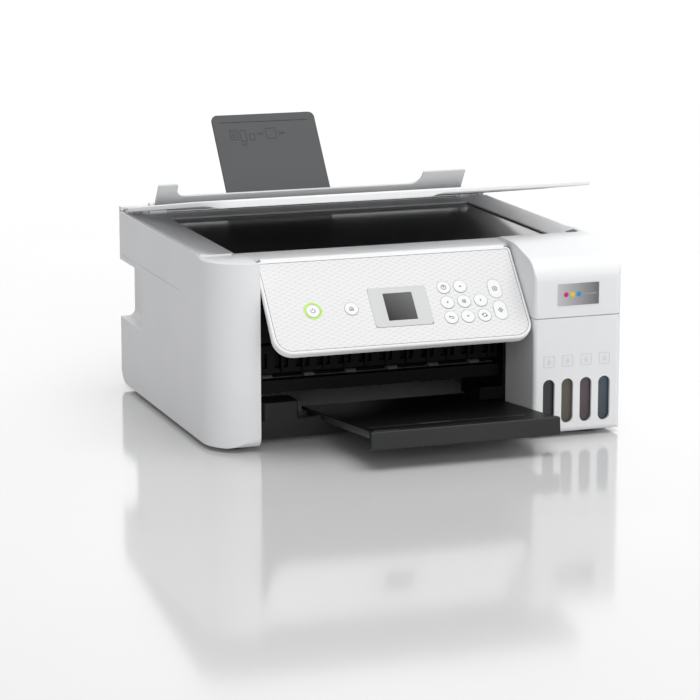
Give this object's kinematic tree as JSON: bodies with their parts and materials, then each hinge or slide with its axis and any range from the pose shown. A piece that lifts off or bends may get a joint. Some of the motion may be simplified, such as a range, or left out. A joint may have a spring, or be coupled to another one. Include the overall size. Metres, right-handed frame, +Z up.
{
  "type": "ink tank inkjet printer",
  "caption": "Flatbed all-in-one inkjet printer with a raised scanner lid, tilting control panel, rear paper feed, output tray and front ink tank windows.",
  "frame": {"origin": "on the floor under the middle of the printer's body", "axes": "+X to the printer's right as seen from its front, +Y to its back, +Z up"},
  "size_m": [0.375, 0.4618, 0.2527],
  "materials": {
    "white_abs": "fine matte texture",
    "panel_face_film": "matte with a fine wave texture",
    "key_plastic": "satin",
    "guard_plastic": "matte",
    "lid_mat_foam": "soft foam-backed film",
    "dark_gray_abs": "matte",
    "black_abs": "fine matte texture",
    "steel": "satin",
    "socket_plastic": "matte",
    "circuit_board": "solder mask",
    "rubber_black": "matte",
    "roller_rubber": "matte",
    "brass_pulley": "turned",
    "pom_white": "moulded",
    "ink_tank_plastic": "translucent, filled with ink",
    "cap_black": "satin",
    "cap_yellow": "satin",
    "cap_magenta": "satin",
    "cap_cyan": "satin",
    "scan_glass": "clear, dark underneath",
    "badge_metal": "brushed gradient",
    "display": "glossy dark window"
  },
  "bodies": {
    "printer_base": {"lower_housing": "white_abs", "tower_cover": "white_abs", "left_side_panel": "white_abs", "rear_cover": "white_abs", "base_pan": "black_abs", "rubber_feet": "rubber_black", "inner_frame": "black_abs", "paper_chute": "black_abs", "power_supply": "socket_plastic", "rear_sockets": "socket_plastic", "main_board": "circuit_board", "carriage_rail": "steel", "timing_belt": "rubber_black", "drive_motors": "steel", "platen": "black_abs", "star_wheel_holder": "black_abs", "capping_station": "black_abs", "case_screws": "steel", "ink_tanks": "ink_tank_plastic", "hinge_pins": "steel"},
    "scanner_unit": {"scanner_deck": "white_abs", "scanner_base": "black_abs", "scanner_glass": "scan_glass", "cis_rail": "steel", "badge_plate": "badge_metal"},
    "scan_head": {"cis_bar": "black_abs"},
    "document_lid": {"lid_shell": "white_abs", "lid_mat": "lid_mat_foam"},
    "control_panel": {"panel_frame": "white_abs", "panel_face": "panel_face_film", "lcd_module": "display"},
    "power_key": {"power_button": "key_plastic"},
    "home_key": {"home_button": "key_plastic"},
    "help_key": {"help_button": "key_plastic"},
    "up_key": {"up_button": "key_plastic"},
    "left_key": {"left_button": "key_plastic"},
    "ok_key": {"ok_button": "key_plastic"},
    "right_key": {"right_button": "key_plastic"},
    "back_key": {"back_button": "key_plastic"},
    "down_key": {"down_button": "key_plastic"},
    "switch_key": {"switch_button": "key_plastic"},
    "stop_key": {"stop_button": "key_plastic"},
    "start_key": {"start_button": "key_plastic"},
    "tray": {"output_tray": "dark_gray_abs"},
    "stopper": {"paper_stopper": "dark_gray_abs"},
    "rear_support": {"paper_support": "dark_gray_abs"},
    "guard": {"feeder_guard": "guard_plastic"},
    "left_guide": {"left_edge_guide": "dark_gray_abs"},
    "right_guide": {"right_edge_guide": "dark_gray_abs"},
    "black_cap": {"black_tank_cap": "cap_black"},
    "yellow_cap": {"yellow_tank_cap": "cap_yellow"},
    "magenta_cap": {"magenta_tank_cap": "cap_magenta"},
    "cyan_cap": {"cyan_tank_cap": "cap_cyan"},
    "carriage": {"print_carriage": "black_abs"},
    "motor_pulley": {"drive_pulley": "brass_pulley"},
    "belt_pulley": {"idler_pulley": "pom_white"},
    "feed_shaft": {"feed_roller": "roller_rubber"},
    "eject_shaft": {"eject_roller": "roller_rubber"},
    "pinch_shaft": {"pinch_rollers": "roller_rubber"},
    "pickup_shaft": {"pickup_roller": "roller_rubber"}
  },
  "joints": [
    {"name": "scanner_unit_hinge", "type": "hinge", "parent": "printer_base", "child": "scanner_unit", "pos_m": [0, 0.1565, 0.1724], "axis": [-1, 0, 0], "range_deg": [0, 35]},
    {"name": "scan_head_slide", "type": "slide", "parent": "scanner_unit", "child": "scan_head", "axis": [1, 0, 0], "range_m": [0, 0.28]},
    {"name": "lid_hinge", "type": "hinge", "parent": "scanner_unit", "child": "document_lid", "pos_m": [0, 0.1565, 0.1724], "axis": [-1, 0, 0], "range_deg": [-9.8, 35]},
    {"name": "panel_tilt", "type": "hinge", "parent": "printer_base", "child": "control_panel", "pos_m": [0, -0.11258, 0.16412], "axis": [-1, 0, 0], "range_deg": [-26, 45]},
    {"name": "power_key_press", "type": "slide", "parent": "control_panel", "child": "power_key", "axis": [0, 0.757, -0.6534], "range_m": [0, 0.0008], "stiffness_N_per_m": 600},
    {"name": "home_key_press", "type": "slide", "parent": "control_panel", "child": "home_key", "axis": [0, 0.757, -0.6534], "range_m": [0, 0.0008], "stiffness_N_per_m": 600},
    {"name": "help_key_press", "type": "slide", "parent": "control_panel", "child": "help_key", "axis": [0, 0.757, -0.6534], "range_m": [0, 0.0008], "stiffness_N_per_m": 600},
    {"name": "up_key_press", "type": "slide", "parent": "control_panel", "child": "up_key", "axis": [0, 0.757, -0.6534], "range_m": [0, 0.0008], "stiffness_N_per_m": 600},
    {"name": "left_key_press", "type": "slide", "parent": "control_panel", "child": "left_key", "axis": [0, 0.757, -0.6534], "range_m": [0, 0.0008], "stiffness_N_per_m": 600},
    {"name": "ok_key_press", "type": "slide", "parent": "control_panel", "child": "ok_key", "axis": [0, 0.757, -0.6534], "range_m": [0, 0.0008], "stiffness_N_per_m": 600},
    {"name": "right_key_press", "type": "slide", "parent": "control_panel", "child": "right_key", "axis": [0, 0.757, -0.6534], "range_m": [0, 0.0008], "stiffness_N_per_m": 600},
    {"name": "back_key_press", "type": "slide", "parent": "control_panel", "child": "back_key", "axis": [0, 0.757, -0.6534], "range_m": [0, 0.0008], "stiffness_N_per_m": 600},
    {"name": "down_key_press", "type": "slide", "parent": "control_panel", "child": "down_key", "axis": [0, 0.757, -0.6534], "range_m": [0, 0.0008], "stiffness_N_per_m": 600},
    {"name": "switch_key_press", "type": "slide", "parent": "control_panel", "child": "switch_key", "axis": [0, 0.757, -0.6534], "range_m": [0, 0.0008], "stiffness_N_per_m": 600},
    {"name": "stop_key_press", "type": "slide", "parent": "control_panel", "child": "stop_key", "axis": [0, 0.757, -0.6534], "range_m": [0, 0.0008], "stiffness_N_per_m": 600},
    {"name": "start_key_press", "type": "slide", "parent": "control_panel", "child": "start_key", "axis": [0, 0.757, -0.6534], "range_m": [0, 0.0008], "stiffness_N_per_m": 600},
    {"name": "tray_slide", "type": "slide", "parent": "printer_base", "child": "tray", "axis": [0, -0.9956, 0.0941], "range_m": [-0.062, 0.04]},
    {"name": "stopper_flip", "type": "hinge", "parent": "tray", "child": "stopper", "pos_m": [0, -0.22683, 0.03336], "axis": [1, 0, 0], "range_deg": [0, 90]},
    {"name": "support_slide", "type": "slide", "parent": "printer_base", "child": "rear_support", "axis": [0, 0.6018, 0.7986], "range_m": [-0.08, 0]},
    {"name": "guard_flip", "type": "hinge", "parent": "printer_base", "child": "guard", "pos_m": [0, 0.1575, 0.177], "axis": [-1, 0, 0], "range_deg": [0, 47]},
    {"name": "left_guide_slide", "type": "slide", "parent": "printer_base", "child": "left_guide", "axis": [1, 0, 0], "range_m": [0, 0.045]},
    {"name": "right_guide_slide", "type": "slide", "parent": "printer_base", "child": "right_guide", "axis": [1, 0, 0], "range_m": [-0.045, 0]},
    {"name": "black_cap_hinge", "type": "hinge", "parent": "printer_base", "child": "black_cap", "pos_m": [0, -0.1285, 0.0975], "axis": [-1, 0, 0], "range_deg": [0, 100]},
    {"name": "yellow_cap_hinge", "type": "hinge", "parent": "printer_base", "child": "yellow_cap", "pos_m": [0, -0.1285, 0.0975], "axis": [-1, 0, 0], "range_deg": [0, 100]},
    {"name": "magenta_cap_hinge", "type": "hinge", "parent": "printer_base", "child": "magenta_cap", "pos_m": [0, -0.1285, 0.0975], "axis": [-1, 0, 0], "range_deg": [0, 100]},
    {"name": "cyan_cap_hinge", "type": "hinge", "parent": "printer_base", "child": "cyan_cap", "pos_m": [0, -0.1285, 0.0975], "axis": [-1, 0, 0], "range_deg": [0, 100]},
    {"name": "carriage_slide", "type": "slide", "parent": "printer_base", "child": "carriage", "axis": [1, 0, 0], "range_m": [-0.241, 0]},
    {"name": "motor_pulley_spin", "type": "hinge", "parent": "printer_base", "child": "motor_pulley", "pos_m": [-0.1259, 0.021, 0.096], "axis": [0, 1, 0], "range_deg": [-1876, 0]},
    {"name": "belt_pulley_spin", "type": "hinge", "parent": "printer_base", "child": "belt_pulley", "pos_m": [0.1475, 0.021, 0.096], "axis": [0, 1, 0], "range_deg": [-1876, 0]},
    {"name": "feed_roller_spin", "type": "hinge", "parent": "printer_base", "child": "feed_shaft", "pos_m": [0, 0.034, 0.0516], "axis": [1, 0, 0], "continuous": true},
    {"name": "eject_roller_spin", "type": "hinge", "parent": "printer_base", "child": "eject_shaft", "pos_m": [0, -0.082, 0.0523], "axis": [1, 0, 0], "continuous": true},
    {"name": "pinch_roller_spin", "type": "hinge", "parent": "printer_base", "child": "pinch_shaft", "pos_m": [0, 0.0345, 0.0622], "axis": [1, 0, 0], "continuous": true},
    {"name": "pickup_roller_spin", "type": "hinge", "parent": "printer_base", "child": "pickup_shaft", "pos_m": [0, 0.08492, 0.10049], "axis": [1, 0, 0], "continuous": true}
  ],
  "couplings": [
    {"joint": "right_guide_slide", "follows": "left_guide_slide", "ratio": -1},
    {"joint": "motor_pulley_spin", "follows": "carriage_slide", "rad_per_m": 135.13},
    {"joint": "belt_pulley_spin", "follows": "carriage_slide", "rad_per_m": 135.13},
    {"joint": "eject_roller_spin", "follows": "feed_roller_spin", "ratio": 1.1538},
    {"joint": "pinch_roller_spin", "follows": "feed_roller_spin", "ratio": -1.3953},
    {"joint": "pickup_roller_spin", "follows": "feed_roller_spin", "ratio": 0.4}
  ]
}
